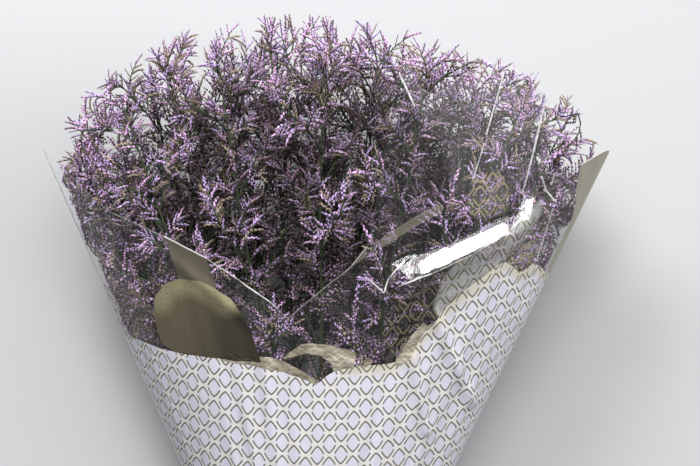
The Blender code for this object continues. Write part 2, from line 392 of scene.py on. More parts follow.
class Stem:
    """One stem's line from the tied bundle to the crown, and the room round it that no other stem enters."""

    def __init__(self, row, column):
        count, half_width, height = ROWS[row]
        step = 2 * half_width / (count - 1)
        self.bundle_x = BUNDLE_X + STEM_PITCH * (column - (count - 1) / 2)
        self.bundle_z = BUNDLE_Z + row * ROW_RISE
        self.crown_x = CROWN_X - half_width + column * step
        self.crown_z = height
        self.side_room = (STEM_PITCH / 2, step / 2)
        self.room_below = (ROW_RISE / 2, (height - ROWS[row - 1][2]) / 2) if row else None
        self.room_above = (ROW_RISE / 2, (ROWS[row + 1][2] - height) / 2) if row + 1 < len(ROWS) else None
        self.at_left = column == 0
        self.at_right = column == count - 1
        inner = self.room_below and self.room_above and 0 < column < count - 1
        self.panicle_y = INNER_PANICLE_Y if inner else OUTER_PANICLE_Y

    def at(self, y):
        share = spread(y)
        x = blend(self.bundle_x, self.crown_x, share)
        return Vector((x, y, blend(self.bundle_z, self.crown_z, share)))

    def bent_clear(self, point):
        """Moves a point into this stem's own room, inside the film and the crown."""
        x, y, z = point
        y = min(y, crown_limit(x, z))
        share = spread(y)
        axis = self.at(y)
        middle, half_width, seam, _ = sleeve_section(y)
        z = max(z, FILM + WALL_CLEARANCE)
        if self.room_below:
            z = max(z, axis.z - blend(*self.room_below, share) + CELL_CLEARANCE)
        if self.room_above:
            z = min(z, axis.z + blend(*self.room_above, share) - CELL_CLEARANCE)
        side = blend(*self.side_room, share) - CELL_CLEARANCE
        x = x if self.at_left else max(x, axis.x - side)
        x = x if self.at_right else min(x, axis.x + side)
        ceiling = front_point((x - middle) / half_width, y).z - WALL_CLEARANCE
        z = min(z, max(ceiling, axis.z))
        away = WALL_CLEARANCE if z > seam else -WALL_CLEARANCE
        wall = half_room(y, z + away) - WALL_CLEARANCE
        return Vector((min(max(x, middle - wall), middle + wall), y, z))


stems = [Stem(row, column) for row, (count, _, _) in enumerate(ROWS) for column in range(count)]
print("stems placed:", len(stems))

# %% Branches and twigs, drawn as in the solids
def side_of(line, angle, reference=None):
    """A direction square to a line, turned round it by an angle from the reference, or else from level."""
    reference = reference or line.cross(Vector((0, 0, 1)))
    across = (reference - reference.project(line)).normalized()
    return across * math.cos(angle) + across.cross(line).normalized() * math.sin(angle)


def clearance(start, end, lines):
    """The least distance from the outer part of one line to any of the others."""
    least = 1.0
    for share in OUTER_SHARES:
        point = start.lerp(end, share)
        for a, b in lines:
            near, place = intersect_point_line(point, a, b)
            near = a if place < 0 else b if place > 1 else near
            least = min(least, (point - near).length)
    return least


def grow(number, stem):
    """One spray's cut end and tip, its branches (root, end) and twigs (branch, place on it, base, end)."""
    draw = random.Random(number)
    cut_y = CUT_Y + draw.uniform(0, CUT_UNEVEN)
    top = stem.at(CROWN_Y)
    end_y = crown_limit(top.x, top.z) - TWIG_LENGTH[0] - draw.uniform(0, TIP_UNEVEN)
    lines = [(stem.at(stem.panicle_y), stem.at(end_y))]
    branches = []
    twigs = []

    def best_end(start, toward):
        ends = []
        for _ in range(DRAWS):
            stray = Vector([draw.uniform(-1, 1) for _ in range(3)]) * STRAY
            ends.append(stem.bent_clear(start + (toward + toward.length * stray)))
        return max(ends, key=lambda end: clearance(start, end, lines))

    def add_twig(branch, place, base, toward):
        end = best_end(base, toward.normalized() * draw.uniform(*TWIG_LENGTH))
        lines.append((base, end))
        draw.uniform(0, math.tau)  # the solids turn the twig by this draw, so it is drawn here as well
        twigs.append((branch, place, base, end))

    turn = draw.uniform(0, math.tau)
    for branch in range(BRANCHES):
        up_stem = (branch + draw.uniform(0.1, 0.9)) / BRANCHES
        root = stem.at(blend(stem.panicle_y, end_y - LAST_ROOT_DROP, up_stem))
        turn += GOLDEN_ANGLE
        outward = Vector((math.cos(turn), 0, math.sin(turn))) * BRANCH_REACH * draw.uniform(0.75, 1.1)
        run = Vector((0, blend(*BRANCH_RUN, up_stem) * draw.uniform(0.85, 1.15), 0))
        end = best_end(root, outward + run)
        lines.append((root, end))
        line = (end - root).normalized()
        onward = line + ONWARD
        branches.append((root, end))
        add_twig(branch, 1.0, end, onward)
        lean = draw.uniform(0, math.tau)
        for place in SIDE_TWIGS:
            lean += math.pi + draw.uniform(-0.5, 0.5)
            add_twig(branch, place, root.lerp(end, place), onward + side_of(line, lean) * SIDE_TWIG_LEAN)
    tip = stem.at(end_y)
    line = (tip - stem.at(FAN_START_Y)).normalized()
    for number_at_tip in range(TIP_TWIGS):
        lean = turn + number_at_tip * math.tau / TIP_TWIGS
        base = tip - line * (TIP_STEP * number_at_tip + MM)
        add_twig(None, 1.0, base, line + TIP_TWIG_LEAN * side_of(line, lean))
    return cut_y, end_y, branches, twigs


growths = [grow(number, stem) for number, stem in enumerate(stems)]
for name, part in (("branches:", 2), ("twigs:", 3)):
    print(name, sum(len(growth[part]) for growth in growths))

# %% [markdown]
# ## One spike of florets
# A spike is a thin green axis, about 20 mm long, with two rows of papery florets along its upper side, and
# it arches over like a comb. Thousands are needed, so each has only a few dozen faces. A floret is a
# three-sided cone whose open rim is drawn out to a point below: it starts narrow in its brown bract, widens
# to lilac petals and closes to a pale tip. The florets are copied along a straight axis, smaller towards
# the tip where they are still buds, and a Simple Deform modifier then bends the whole spike.

# %% Floret
SPIKE = 20 * MM
FLORET_LENGTH = 5.0 * MM
FLORET_WIDTH = 3.1 * MM
PETAL_SHARE = 0.50
BRACT, PETAL, PALE = 0.34, 0.74, 1.0
AXIS_GREEN = 0.22


def deselect():
    if bpy.context.object and bpy.context.object.mode != "OBJECT":
        bpy.ops.object.mode_set(mode="OBJECT")
    bpy.ops.object.select_all(action="DESELECT")


def add_object(name, data):
    """A new object for a mesh or a curve."""
    made = bpy.data.objects.new(name, data)
    bpy.context.collection.objects.link(made)
    return made


def join(into, *parts):
    """Makes several objects one, which keeps the first one's name."""
    deselect()
    for part in (into, *parts):
        part.select_set(True)
    bpy.context.view_layer.objects.active = into
    bpy.ops.object.join()


def edit_whole(tool, **settings):
    """Runs one of the mesh tools on the whole of the active mesh."""
    bpy.ops.object.mode_set(mode="EDIT")
    bpy.ops.mesh.select_all(action="SELECT")
    tool(**settings)
    bpy.ops.object.mode_set(mode="OBJECT")


def apply_modifier(kind, **settings):
    """Puts a modifier on the active mesh, sets it and applies it."""
    bpy.ops.object.modifier_add(type=kind)
    modifier = bpy.context.object.modifiers[-1]
    for name, value in settings.items():
        setattr(modifier, name, value)
    bpy.ops.object.modifier_apply(modifier=modifier.name)


def paint(item, name, values):
    """Writes one number for each vertex of a mesh under a name that its finish reads."""
    layer = item.data.attributes.get(name) or item.data.attributes.new(name, "FLOAT", "POINT")
    layer.data.foreach_set("value", np.asarray(values, np.float32))


def add_floret():
    deselect()
    petal = FLORET_LENGTH * PETAL_SHARE
    bpy.ops.mesh.primitive_cone_add(
        vertices=3, radius1=FLORET_WIDTH / 2, radius2=0, depth=petal,
        end_fill_type="NOTHING", location=(0, 0, FLORET_LENGTH - petal / 2),
    )
    floret = bpy.context.object
    bpy.ops.object.transform_apply(location=True)
    for vertex in floret.data.vertices:
        vertex.select = vertex.co.z < FLORET_LENGTH - petal / 2
    bpy.ops.object.mode_set(mode="EDIT")
    down = (0, 0, -(FLORET_LENGTH - petal))
    bpy.ops.mesh.extrude_region_move(TRANSFORM_OT_translate={"value": down})
    bpy.ops.mesh.merge(type="CENTER")
    bpy.ops.mesh.select_all(action="SELECT")
    bpy.ops.mesh.normals_make_consistent(inside=False)
    bpy.ops.object.mode_set(mode="OBJECT")
    heights = [vertex.co.z / FLORET_LENGTH for vertex in floret.data.vertices]
    paint(floret, "bloom", [BRACT if z < 0.3 else PALE if z > 0.9 else PETAL for z in heights])
    return floret


floret = add_floret()
print("floret faces:", len(floret.data.polygons))

# %% Five kinds of spike, bent by different angles
SPIKE_KINDS = (
    {"florets": 7, "bend": -22, "bud_share": 0.30, "width": 1.00},
    {"florets": 7, "bend": -6, "bud_share": 0.45, "width": 0.90},
    {"florets": 7, "bend": -42, "bud_share": 0.40, "width": 1.05},
    {"florets": 6, "bend": 16, "bud_share": 0.60, "width": 0.85},
    {"florets": 4, "bend": -20, "bud_share": 0.90, "width": 1.45},
)
PLAIN_KIND = 4
FLORET_LEAN = math.radians(36)
FLORET_SPLAY = math.radians(34)
AXIS_RADII = (0.55 * MM, 0.25 * MM)
BUD_SIZE = 0.55
BUD_BLOOM = 0.35


def add_axis():
    deselect()
    bpy.ops.mesh.primitive_cone_add(
        vertices=3, radius1=AXIS_RADII[0], radius2=AXIS_RADII[1], depth=SPIKE, location=(0, 0, SPIKE / 2),
    )
    axis = bpy.context.object
    bpy.ops.object.transform_apply(location=True)
    edit_whole(bpy.ops.mesh.bisect, plane_co=(0, 0, SPIKE / 2), plane_no=(0, 0, 1))
    paint(axis, "bloom", [AXIS_GREEN] * len(axis.data.vertices))
    return axis


def add_spike(number, florets, bend, bud_share, width):
    """Florets lean forward along an axis, left and right of its upper side by turns."""
    draw = random.Random(1000 + number)
    spike = add_axis()
    copies = []
    for place in range(florets):
        along = (place + 0.6) / (florets + 0.4)
        budding = max(0.0, (along - 1 + bud_share) / bud_share)
        copy = add_object("floret", floret.data.copy())
        side = FLORET_SPLAY * (1 if place % 2 else -1) * draw.uniform(0.7, 1.2)
        turn = Matrix.Rotation(side, 4, "Z") @ Matrix.Rotation(-FLORET_LEAN * (1 - 0.5 * along), 4, "X")
        size = blend(1.0, BUD_SIZE, budding) * draw.uniform(0.9, 1.1)
        scale = Matrix.Diagonal((size * width, size * width, size, 1))
        root = Matrix.Translation((0, 0, SPIKE * (along * 0.92 - 0.06)))
        copy.data.transform(root @ turn @ Matrix.Rotation(draw.uniform(0, 2), 4, "Z") @ scale)
        bloom = np.empty(len(copy.data.vertices), np.float32)
        copy.data.attributes["bloom"].data.foreach_get("value", bloom)
        opened = blend(1.0, BUD_BLOOM, budding) * draw.uniform(0.8, 1.0)
        paint(copy, "bloom", BRACT + (bloom - BRACT) * opened)
        copies.append(copy)
    join(spike, *copies)
    apply_modifier("SIMPLE_DEFORM", deform_method="BEND", deform_axis="X", angle=math.radians(bend))
    edit_whole(bpy.ops.mesh.quads_convert_to_tris)
    spike.name = f"spike_kind_{number}"
    return spike


spikes = [add_spike(number, **kind) for number, kind in enumerate(SPIKE_KINDS)]
bpy.data.objects.remove(floret)
print("faces of a spike:", [len(spike.data.polygons) for spike in spikes])

# %% [markdown]
# ## Dressing the twigs
# Each twig of a solid becomes a fine forking shoot: a thin curved stalk with spikes to its left and right by
# turns and one at its end. Each spike leans forward, turns its florets to the outside of the crown, and
# stays inside the film. A spike placed as an object of its own would be easiest to follow, but there are
# thousands, so their corners are multiplied by their matrices in one step and become one mesh.

# %% Places of the spikes
TWIG_STALK_SHARE = 0.70
TWIG_SPIKES = 7
TWIG_SPAN = (0.24, 0.99)
BRANCH_SPIKES = 3
BRANCH_SPAN = (0.55, 0.98)
ARC_POINTS = 7
TWIG_POINTS = 9
STALK_STEPS = 4
BRANCH_TIP_RADIUS = 0.75 * MM
TWIG_RADII = (0.8 * MM, 0.5 * MM)
EXTRA_TWIGS = (0.25, 0.48, 0.70, 0.92)
EXTRA_LENGTH = (0.030, 0.044)
EXTRA_LEAN = math.radians(50)
STEM_TWIGS = 22
STEM_TWIG_START = 30 * MM
HIGHEST_START_Y = 0.055
EXTRA_SHORT = 28 * MM
CLUMP = 22.0
CLUMP_GAP = -0.25
EDGE_BRANCHES = 12
EDGE_ROOTS = (-0.03, 0.18)
EDGE_REACH = (0.030, 0.080)
EDGE_RUN = (0.02, 0.05)
EDGE_RISE = (-0.03, 0.03)
EDGE_TWIGS = (0.30, 0.48, 0.66, 0.84, 1.0)
DEEP = 45 * MM
DEEP_HEIGHT = 0.185
SPIKE_SIZES = (0.78, 1.12)
SPIKE_LEAN = (math.radians(56), math.radians(34))
PLANE_STRAY = math.radians(40)
CROWN_HEART = Vector((-0.01, 0.06, 0.12))
SPIKE_CLEARANCE = 4.5 * MM
LEAST_SHARE = 0.5
LARGEST_SIZE = 1.25


def arc(start, end, leaving, count):
    """Points on a curve that leaves its start in a given direction and bends over to its end."""
    control = start + leaving.normalized() * (end - start).length * 0.45
    shares = [number / (count - 1) for number in range(count)]
    return [start.lerp(control, share).lerp(control.lerp(end, share), share) for share in shares]


def along(points, share):
    """The place on a line of points, and its direction there."""
    place = share * (len(points) - 1)
    number = min(int(place), len(points) - 2)
    a, b = points[number:number + 2]
    return a.lerp(b, place - number), (b - a).normalized()


def reach(base, toward, short=0.0):
    """Where a shoot ends that starts so: bent off the film's walls, and cut short under the crown's dome."""
    x, y, z = base + toward
    middle, half_width, seam, _ = sleeve_section(y)
    z = max(z, FILM + SPIKE_CLEARANCE)
    z = min(z, front_point((x - middle) / half_width, y).z - SPIKE_CLEARANCE)
    wall = half_room(y, z) - SPIKE_CLEARANCE
    tip = Vector((min(max(x, middle - wall), middle + wall), y, z))
    over = y - crown_limit(tip.x, tip.z) + short
    if over > 0 and y > base.y:
        tip = base.lerp(tip, max(LEAST_SHARE, 1 - over / (y - base.y)))
    return tip


def spike_matrix(base, line, size):
    """Sets a spike on its base along a line, with its florets to the outside of the crown."""
    tip = reach(base, line * size * SPIKE)
    line = (tip - base).normalized()
    size = min(LARGEST_SIZE, size, max((tip - base).length / SPIKE, LEAST_SHARE * size))
    outside = (base - CROWN_HEART).normalized() + Vector((0, 0.3, 0))
    across = outside.cross(line).normalized()
    turn = Matrix((across, line.cross(across), line)).transposed()
    return Matrix.LocRotScale(base, turn, Vector((size, size, size)))


# The plain spike is mostly dull buds: deep inside the crown it is partly filler and partly painted shade.
def kind_at(base, draw):
    """A plain spike deep inside the crown, and one of the fine ones elsewhere."""
    deep = crown_limit(base.x, base.z) - base.y > DEEP and base.z < DEEP_HEIGHT
    return PLAIN_KIND if deep else draw.randrange(PLAIN_KIND)


def depth_under(place):
    """How many millimetres a place lies under the film's cone or the dome of the crown."""
    x, y, z = place
    middle, half_width, _, _ = sleeve_section(y)
    under_front = front_point((x - middle) / half_width, y).z - z
    beside = half_room(y, max(z, FILM)) - abs(x - middle)
    return max(0.0, min(under_front, beside, crown_limit(x, z) - y)) / MM


def dress(points, count, first, last, draw, placed):
    """Sets spikes along a line of points, left and right by turns, in a plane that strays a little."""
    plane = draw.uniform(0, math.tau)
    for number in range(count):
        share = blend(first, last, (number + draw.uniform(0.2, 0.8)) / count)
        base, line = along(points, share)
        angle = plane + math.pi * (number % 2) + draw.uniform(-PLANE_STRAY, PLANE_STRAY)
        lean = blend(*SPIKE_LEAN, share) * draw.uniform(0.75, 1.2)
        toward = line * math.cos(lean) + side_of(line, angle) * math.sin(lean)
        size = draw.uniform(*SPIKE_SIZES) * blend(1.0, 0.85, share)
        placed.append((kind_at(base, draw), spike_matrix(base, toward.normalized(), size), draw.random()))


def edge_branches(stem, draw):
    """Extra branches of an outermost stem, which fill the film out to its welds."""
    if not (stem.at_left or stem.at_right):
        return []
    made = []
    for number in range(EDGE_BRANCHES):
        root = stem.at(blend(*EDGE_ROOTS, (number + draw.random()) / EDGE_BRANCHES))
        across = draw.uniform(*EDGE_REACH) * (-1 if stem.at_left else 1)
        toward = Vector((across, draw.uniform(*EDGE_RUN), draw.uniform(*EDGE_RISE)))
        made.append((root, reach(root, toward)))
    return made


def shoots(number, stem, growth):
    """The stalks of one spray, each its points and its radii, and the places of its spikes."""
    draw = random.Random(5000 + number)
    _, end_y, branches, twigs = growth
    stalks = []
    placed = []
    arms = []
    twigs = list(twigs)
    for root, end in branches + edge_branches(stem, draw):
        leaving = (stem.at(root.y + 10 * MM) - stem.at(root.y)).normalized() + (end - root).normalized()
        arms.append(arc(root, end, leaving, ARC_POINTS))
        stalks.append((arms[-1], BRANCH_DIAMETER / 2, BRANCH_TIP_RADIUS))
        dress(arms[-1], BRANCH_SPIKES, *BRANCH_SPAN, draw, placed)
    for branch, arm in enumerate(arms):
        angle = draw.uniform(0, math.tau)
        for place in EXTRA_TWIGS if branch < BRANCHES else EDGE_TWIGS:
            base, line = along(arm, place)
            angle += GOLDEN_ANGLE
            if noise.noise(base * CLUMP) < CLUMP_GAP:
                continue
            toward = line * math.cos(EXTRA_LEAN) + side_of(line, angle) * math.sin(EXTRA_LEAN)
            end = reach(base, toward * draw.uniform(*EXTRA_LENGTH), EXTRA_SHORT)
            twigs.append((branch, place, base, end))
    angle = draw.uniform(0, math.tau)
    for number_on_stem in range(STEM_TWIGS):
        share = (number_on_stem + draw.uniform(0.2, 0.8)) / STEM_TWIGS
        base = stem.at(blend(min(stem.panicle_y + STEM_TWIG_START, HIGHEST_START_Y), end_y, share))
        angle += GOLDEN_ANGLE
        outward = Vector((math.cos(angle), 0, math.sin(angle)))
        toward = Vector((0, 1, 0)) * math.cos(EXTRA_LEAN) + outward * math.sin(EXTRA_LEAN)
        end = reach(base, toward * draw.uniform(*EXTRA_LENGTH), EXTRA_SHORT)
        twigs.append((None, 1.0, base, end))
    for branch, place, base, end in twigs:
        if branch is None:
            start, leaving = base, stem.at(end_y) - stem.at(FAN_START_Y)
        else:
            start, leaving = along(arms[branch], place)
        toward = (end - start).normalized()
        whole = arc(start, end, leaving.normalized() + toward, TWIG_POINTS)
        stalk = [along(whole, TWIG_STALK_SHARE * step / STALK_STEPS)[0] for step in range(STALK_STEPS + 1)]
        stalks.append((stalk, *TWIG_RADII))
        dress(stalk, TWIG_SPIKES, *TWIG_SPAN, draw, placed)
        last = end - stalk[-1]
        at_tip = spike_matrix(stalk[-1], last.normalized(), last.length / SPIKE)
        placed.append((draw.randrange(2), at_tip, draw.random()))
    return stalks, placed


dressed = [shoots(number, *pair) for number, pair in enumerate(zip(stems, growths))]
print("spikes in the bunch:", sum(len(placed) for _, placed in dressed))

# %% Stalks as tapering curves
STEM_STEPS = 18
WAVER_SEED = 7
STEM_WAVER = 4 * MM
WAVER_GRAIN = 9
THINNING = 0.6
RIBBING = 0.03
RIB_GRAIN = 60
# Without a seed, noise_vector shifts its field by a draw from the clock, and the stems differ from run to run.
noise.seed_set(WAVER_SEED)


def stem_points(number, stem, growth):
    """The stem's line with the slight waver of a grown stem, and its radius at each point."""
    cut_y, end_y, _, _ = growth
    points, radii = [], []
    for step in range(STEM_STEPS + 1):
        y = blend(cut_y, end_y, step / STEM_STEPS)
        free = min(1.0, spread(y) * 4)
        waver = noise.noise_vector(Vector((number * 7.3, y * WAVER_GRAIN, 0))) * (STEM_WAVER * free)
        thinned = max(0.0, (y - stem.panicle_y) / (end_y - stem.panicle_y)) ** THINNING
        ribbing = 1 + RIBBING * noise.noise(Vector((number, y * RIB_GRAIN, 3)))
        points.append(stem.at(y) + Vector((waver.x, 0, waver.z)))
        radii.append(blend(STEM_DIAMETER, STEM_TIP_DIAMETER, thinned) / 2 * ribbing)
    return points, radii


def add_stalks(name, lines, sides=0):
    """One curve with a spline for each stalk, made a mesh."""
    curve = bpy.data.curves.new(name, "CURVE")
    curve.dimensions = "3D"
    curve.bevel_depth = 1.0
    curve.bevel_resolution = sides
    curve.use_fill_caps = True
    for points, radii in lines:
        spline = curve.splines.new("POLY")
        spline.points.add(len(points) - 1)
        for corner, point, radius in zip(spline.points, points, radii):
            corner.co = (*point, 1)
            corner.radius = radius
    item = add_object(name, curve)
    deselect()
    item.select_set(True)
    bpy.context.view_layer.objects.active = item
    bpy.ops.object.convert(target="MESH")
    edit_whole(bpy.ops.mesh.remove_doubles, threshold=0.01 * MM)
    return bpy.context.object


def tapered(points, thick, thin):
    """A stalk's points, and its radius at each."""
    return points, [blend(thick, thin, step / (len(points) - 1)) for step in range(len(points))]


# %% Spikes as one mesh
def read_shape(item):
    """A kind of spike as arrays: its corners, its triangles and its bloom."""
    mesh = item.data
    corners = np.array([vertex.co for vertex in mesh.vertices])
    triangles = np.array([polygon.vertices[:] for polygon in mesh.polygons])
    bloom = np.array([value.value for value in mesh.attributes["bloom"].data])
    return corners, triangles, bloom


shapes = [read_shape(spike) for spike in spikes]


def add_spikes(name, placed):
    """Every placed spike in one mesh, each with its own tint."""
    corners, triangles, bloom, tint, depth = [], [], [], [], []
    first = 0
    for kind, matrix, shade in placed:
        shape, faces, ripeness = shapes[kind]
        turned = np.array(matrix.to_3x3())
        corners.append(shape @ turned.T + np.array(matrix.translation))
        triangles.append(faces + first)
        bloom.append(ripeness)
        tint.append(np.full(len(shape), shade))
        # How deep each spike lies, which the finish turns into painted shade.
        depth.append(np.full(len(shape), depth_under(matrix.translation)))
        first += len(shape)
    mesh = bpy.data.meshes.new(name)
    mesh.from_pydata(np.concatenate(corners), [], np.concatenate(triangles))
    item = add_object(name, mesh)
    paint(item, "bloom", np.concatenate(bloom))
    paint(item, "tint", np.concatenate(tint))
    paint(item, "depth", np.concatenate(depth))
    return item


# %% [markdown]
# ## The colours of statice
# One number, the bloom, runs from the cut end through the green stalks and the brown bracts to the petals
# and their pale tips, and a ramp gives each its colour. A second number differs from spike to spike: it
# makes some spikes pinker, some bluer, and some brown, because a few dry before they open. A third number is
# the depth under the skin of the bunch: deep there, the colours are darkened and dulled as painted shade.

# %% Finish of the sprays
STATICE_STOPS = (
    (0.00, (0.42, 0.40, 0.26)),
    (0.06, (0.032, 0.052, 0.020)),
    (0.20, (0.044, 0.066, 0.028)),
    (0.34, (0.085, 0.074, 0.040)),
    (0.54, (0.155, 0.090, 0.098)),
    (0.64, (0.370, 0.220, 0.410)),
    (0.80, (0.650, 0.455, 0.740)),
    (1.00, (0.930, 0.880, 0.950)),
)
DRY_STOPS = (
    (0.20, (0.060, 0.072, 0.030)),
    (0.34, (0.105, 0.080, 0.044)),
    (0.60, (0.220, 0.160, 0.115)),
    (1.00, (0.480, 0.390, 0.330)),
)
DRY_SHARE = 0.22
SHADE_START_DEPTH, FULL_SHADE_DEPTH = 32.0, 88.0
PAINTED_SHADE_TINT = (0.30, 0.30, 0.25)


def statice_finish():
    finish = Finish("statice", roughness=0.75)
    tint = finish.attribute("tint")
    patch = finish.speckle(14.0)
    bloom = finish.attribute("bloom") + (finish.speckle(900.0) - 0.5) * 0.12
    fresh = finish.node("ShaderNodeValToRGB", {"stops": STATICE_STOPS}, {"Fac": bloom})
    dry = finish.node("ShaderNodeValToRGB", {"stops": DRY_STOPS}, {"Fac": bloom})
    hue = finish.mix(tint.step(0.3, 0.9), (1.05, 0.93, 0.94), (0.90, 0.92, 1.07))
    brown = (tint + (patch - 0.5) * 0.6).step(DRY_SHARE + 0.06, DRY_SHARE - 0.06)
    color = finish.mix(brown, finish.tint(fresh, hue), dry)
    # Painted shade: the deeper under the skin of the bunch, the darker and duller the colour.
    deep = finish.attribute("depth").step(SHADE_START_DEPTH, FULL_SHADE_DEPTH)
    finish.set("Base Color", finish.mix(deep, color, finish.tint(color, PAINTED_SHADE_TINT)))
    return finish


statice = statice_finish()
print("statice finish with", len(statice.tree.nodes), "nodes")

# %% The sprays
STEM_BLOOM, CUT_BLOOM = 0.10, 0.0
CUT_DEPTH = 0.3 * MM
GREENING_Y = (0.1, 0.35)
STALK_TINT = 0.6


def finish_stalks(item, cut_y):
    """Green all over, pale on the cut end, and smooth."""
    heights = np.array([vertex.co.y for vertex in item.data.vertices])
    greens = np.interp(heights, GREENING_Y, (STEM_BLOOM, AXIS_GREEN))
    paint(item, "bloom", np.where(heights < cut_y + CUT_DEPTH, CUT_BLOOM, greens))
    paint(item, "tint", np.full(len(heights), STALK_TINT))
    # Deep inside the crown, the stalks get the same painted shade.
    paint(item, "depth", [depth_under(vertex.co) for vertex in item.data.vertices])
    item.data.shade_smooth()


def add_spray(number):
    stalks, placed = dressed[number]
    growth = growths[number]
    item = add_stalks(f"statice_{number:02d}", [stem_points(number, stems[number], growth)], 2)
    branching = add_stalks("branching", [tapered(*stalk) for stalk in stalks])
    finish_stalks(item, growth[0])
    finish_stalks(branching, growth[0])
    join(item, branching, add_spikes("spikes", placed))
    coat(item, statice)
    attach(item, "root")
    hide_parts(f"spray_{number:02d}")
    return item


sprays = [add_spray(number) for number in range(len(stems))]
for spike in spikes:
    bpy.data.objects.remove(spike)
print("triangles in the sprays:", sum(len(spray.data.polygons) for spray in sprays))

# %% [markdown]
# ## The film sleeve
# The sleeve is two sheets of clear film, welded along both sides into a cone and open at both ends. Its
# front mouth is cut low in a notch, so that the flowers show. Each sheet starts as a flat grid that is bent
# to its side of the cone, with its rows spread up to the cut edge. Folds and pleats push it out a few
# millimetres, and two patches are laid flat, which catch the light. A cloth simulation would crumple it more
# freely, but the sleeve is stretched tight over the heads, and its print has to stay where it is.

# %% Cut edges of the two sheets
FRONT_EDGE = (
    (-1.0, 0.240), (-0.985, 0.236), (-0.94, 0.216), (-0.85, 0.178), (-0.808, 0.167), (-0.725, 0.155),
    (-0.628, 0.142), (-0.473, 0.120), (-0.204, 0.074), (-0.153, 0.062), (0.12, 0.110), (0.195, 0.134),
    (0.213, 0.300), (0.235, 0.298), (0.28, 0.272), (0.34, 0.264), (0.41, 0.284), (0.54, 0.295),
    (0.69, 0.272), (0.737, 0.250), (0.764, 0.225), (0.79, 0.202), (0.86, 0.206), (0.93, 0.222),
    (0.985, 0.236), (1.0, 0.237),
)
BACK_EDGE = (
    (-1.0, 0.240), (-0.95, 0.246), (-0.88, 0.253), (-0.80, 0.261), (-0.71, 0.270), (-0.60, 0.280),
    (-0.20, 0.300), (0.20, 0.300), (0.60, 0.288), (0.71, 0.282), (0.80, 0.274), (0.88, 0.264),
    (0.95, 0.250), (1.0, 0.237),
)
SHEET_ROWS = 110
FRONT_COLUMNS = 200
BACK_COLUMNS = 44
APEX_Y = NARROW_Y - HALF_WIDTHS[0] * (MOUTH_Y - NARROW_Y) / (HALF_WIDTHS[1] - HALF_WIDTHS[0])
SLANT = 1.1


def even_places(point_at, edge, columns):
    """Places across a sheet, evenly far apart round its mouth but with one on each corner of its cut edge."""
    fine = np.linspace(-1, 1, 2001)
    mouth = np.array([point_at(across, MOUTH_Y) for across in fine])
    length = np.concatenate(([0], np.cumsum(np.linalg.norm(np.diff(mouth, axis=0), axis=1))))
    places = np.interp(np.linspace(0, length[-1], columns + 1), length, fine)
    for corner, _ in edge[1:-1]:
        places[np.abs(places - corner).argmin()] = corner
    return places, np.interp(places, fine, length) - length[-1] / 2


def add_sheet(name, point_at, edge, columns):
    """A grid bent to one side of the cone, with a map of the sheet as it lay flat."""
    places, widths = even_places(point_at, edge, columns)
    cut = np.interp(places, *zip(*edge))
    cut[1:-1] = np.convolve(cut, np.ones(3) / 3, "valid")
    deselect()
    bpy.ops.mesh.primitive_grid_add(x_subdivisions=columns, y_subdivisions=SHEET_ROWS, size=2)
    sheet = bpy.context.object
    sheet.name = name
    flat = []
    below_edge = []
    for vertex in sheet.data.vertices:
        column = round((vertex.co.x + 1) / 2 * columns)
        y = blend(NARROW_Y, cut[column], (vertex.co.y + 1) / 2)
        below_edge.append((cut[column] - y) / MM)
        vertex.co = point_at(places[column], y)
        radius = SLANT * (y - APEX_Y)
        angle = widths[column] / (SLANT * (MOUTH_Y - APEX_Y))
        flat.append((radius * math.sin(angle), radius * math.cos(angle)))
    paint(sheet, "edge", below_edge)
    sheet.data.uv_layers.remove(sheet.data.uv_layers[0])
    corners = [flat[loop.vertex_index] for loop in sheet.data.loops]
    sheet.data.uv_layers.new(name="film_flat").data.foreach_set("uv", np.ravel(corners))
    return sheet


front = add_sheet("sleeve_film", front_point, FRONT_EDGE, FRONT_COLUMNS)
back = add_sheet("back_sheet", back_point, BACK_EDGE, BACK_COLUMNS)
print("faces of the film grids:", len(front.data.polygons), len(back.data.polygons))

# %% [markdown]
# ## Where the print lies
# The print is placed by the photograph. Each corner of the front sheet is projected to its pixel, and for
# each printed shape, given as a ring of pixels, it stores how far inside that ring it lies. A finish that
# cuts this distance at zero gives a crisp edge on a coarse mesh, where one face per colour would be jagged.

# %% Printed shapes and folds, in pixels of the photograph
WHITE_RING = (
    (60, 312), (120, 333), (136, 339), (160, 347.5), (187, 354), (227, 359.5), (257, 364), (282, 370),
    (301.5, 376), (319, 382.5), (326, 376), (336, 370), (347, 366.5), (365, 365), (388, 364), (396, 361.5),
    (404, 357), (410, 350.5), (416, 339), (425, 329), (441, 311), (457, 297), (471, 286), (485, 275),
    (497, 264), (505, 261.5), (512, 266), (519, 272), (526, 268), (533, 262), (541, 268), (550, 276),
    (600, 300), (600, 800), (60, 800),
)
TRELLIS_RINGS = (
    (
        (380, 330), (400, 296), (425, 286), (440, 268), (470, 254), (500, 240), (514, 226), (535, 214),
        (535, 262), (519, 272), (480, 330), (396, 362),
    ),
    ((96, 285), (120, 282), (150, 292), (157, 330), (150, 345), (112, 335)),
)
PATCH_RINGS = (
    ((466, 180), (498, 168), (512, 188), (506, 212), (482, 220), (468, 214)),
    ((506, 262), (515, 246), (530, 238), (534, 256), (520, 271), (511, 266)),
)
TAB_RING = (
    (155.4, 296), (166, 283), (181, 278), (201, 280), (216, 288), (231, 298), (242, 313), (251, 329),
    (256, 346), (262, 362), (236, 361), (209, 357), (176, 351), (163, 343), (158, 329), (154.5, 313),
)
# The line along the top of the tab where its painted highlight lies.
TAB_HIGHLIGHT_LINE = ((160, 300), (170, 287), (184, 282), (201, 284), (216, 292), (228, 302))
RIBBON_RING = (
    (163, 235), (174, 238), (198, 250.5), (206, 258), (217.5, 289.5), (179, 278.7), (174, 260), (168, 243),
)
